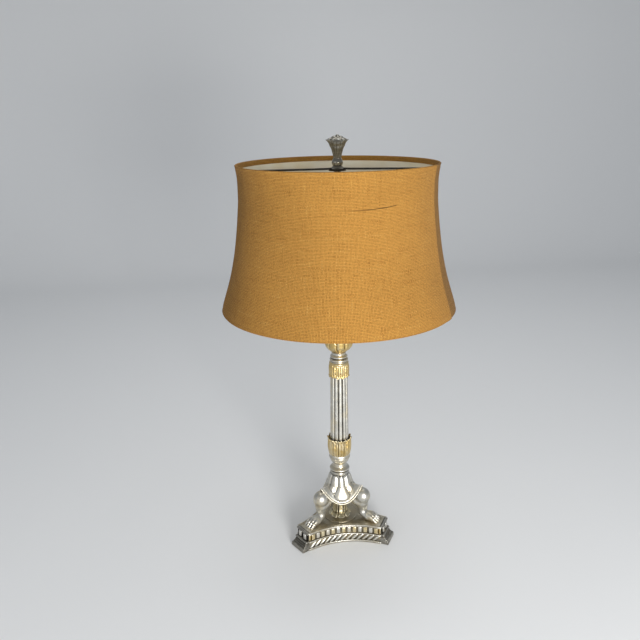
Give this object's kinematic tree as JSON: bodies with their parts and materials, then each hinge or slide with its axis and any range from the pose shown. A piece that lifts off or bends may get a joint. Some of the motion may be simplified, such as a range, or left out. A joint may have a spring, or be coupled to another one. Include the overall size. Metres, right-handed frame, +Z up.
{
  "type": "table lamp",
  "caption": "Candlestick table lamp with a triangular plinth, lion-paw legs, fluted column, leaf collars and a flared fabric shade on a harp with a finial.",
  "frame": {"origin": "on the column's axis at the face that the lamp stands on", "axes": "+Z up along the column, -Y to the front, towards the middle of one hollow side of the plinth; the third leg points to +Y"},
  "size_m": [0.4059, 0.406, 0.7472],
  "materials": {
    "plinth_metal": "silver leaf toned down to champagne, rubbed dark in the recesses",
    "silver_leaf": "aged silver leaf with a warm glaze in the hollows",
    "gold_leaf": "aged gold leaf with brown glaze between the leaves",
    "felt": "pressed felt",
    "iron": "rough casting",
    "steel": "zinc plated",
    "dark_steel": "dark bronze lacquer on wire",
    "nickel": "nickel plated wire",
    "aged_nickel": "antique nickel, dark in the flutes",
    "brass": "lacquered brass",
    "black_plastic": "moulded",
    "card": "vulcanised fibre sleeve",
    "aluminium_shell": "spun shell",
    "bulb_glass": "inside frosted",
    "burlap": "coarse plain-weave burlap, mustard gold",
    "lining": "off-white laminated lining"
  },
  "bodies": {
    "base": {"plinth": "plinth_metal", "base_felt": "felt", "base_weight": "iron", "base_washer": "steel", "base_nut": "steel", "cord_bushing": "black_plastic", "lamp_pipe": "steel", "leg_left": "silver_leaf", "leg_right": "silver_leaf", "leg_rear": "silver_leaf", "leg_bolts": "steel", "foot_baluster": "gold_leaf", "apron": "silver_leaf", "bell_body": "silver_leaf", "body_ring": "silver_leaf", "lower_cup": "silver_leaf", "lower_leaf_collar": "gold_leaf", "fluted_shaft": "silver_leaf", "upper_leaf_collar": "gold_leaf", "column_capital": "silver_leaf", "candle_cup": "gold_leaf", "cup_cover": "brass", "check_ring": "brass", "harp_saddle": "nickel", "pipe_locknut": "steel", "harp": "nickel", "harp_stud": "nickel", "socket_cap": "brass", "socket_shell": "brass", "insulating_sleeve": "card", "switch_core": "black_plastic", "screw_shell": "aluminium_shell", "centre_contact": "brass"},
    "knob": {"switch_knob": "black_plastic"},
    "bulb": {"bulb_contact": "brass", "bulb_cap": "aluminium_shell", "bulb_glass": "bulb_glass"},
    "sleeve_left": {"harp_sleeve_left": "nickel"},
    "sleeve_right": {"harp_sleeve_right": "nickel"},
    "shade": {"shade_cover": "burlap", "shade_lining": "lining", "shade_bottom_ring": "dark_steel", "shade_spider": "dark_steel", "hub_washer": "dark_steel"},
    "finial": {"finial_base": "aged_nickel", "finial_body": "aged_nickel", "finial_bead": "aged_nickel"}
  },
  "joints": [
    {"name": "switch_turn", "type": "hinge", "parent": "base", "child": "knob", "pos_m": [0, -0.02, 0.4385], "axis": [0, -1, 0], "continuous": true},
    {"name": "bulb_turn", "type": "hinge", "parent": "base", "child": "bulb", "pos_m": [0, 0, 0.46], "axis": [0, 0, 1], "continuous": true},
    {"name": "sleeve_left_lift", "type": "slide", "parent": "base", "child": "sleeve_left", "axis": [0, 0, 1], "range_m": [0, 0.018]},
    {"name": "sleeve_right_lift", "type": "slide", "parent": "base", "child": "sleeve_right", "axis": [0, 0, 1], "range_m": [0, 0.018]},
    {"name": "shade_turn", "type": "hinge", "parent": "base", "child": "shade", "pos_m": [0, 0, 0.69], "axis": [0, 0, 1], "continuous": true},
    {"name": "finial_turn", "type": "hinge", "parent": "base", "child": "finial", "pos_m": [0, 0, 0.7], "axis": [0, 0, 1], "continuous": true}
  ]
}
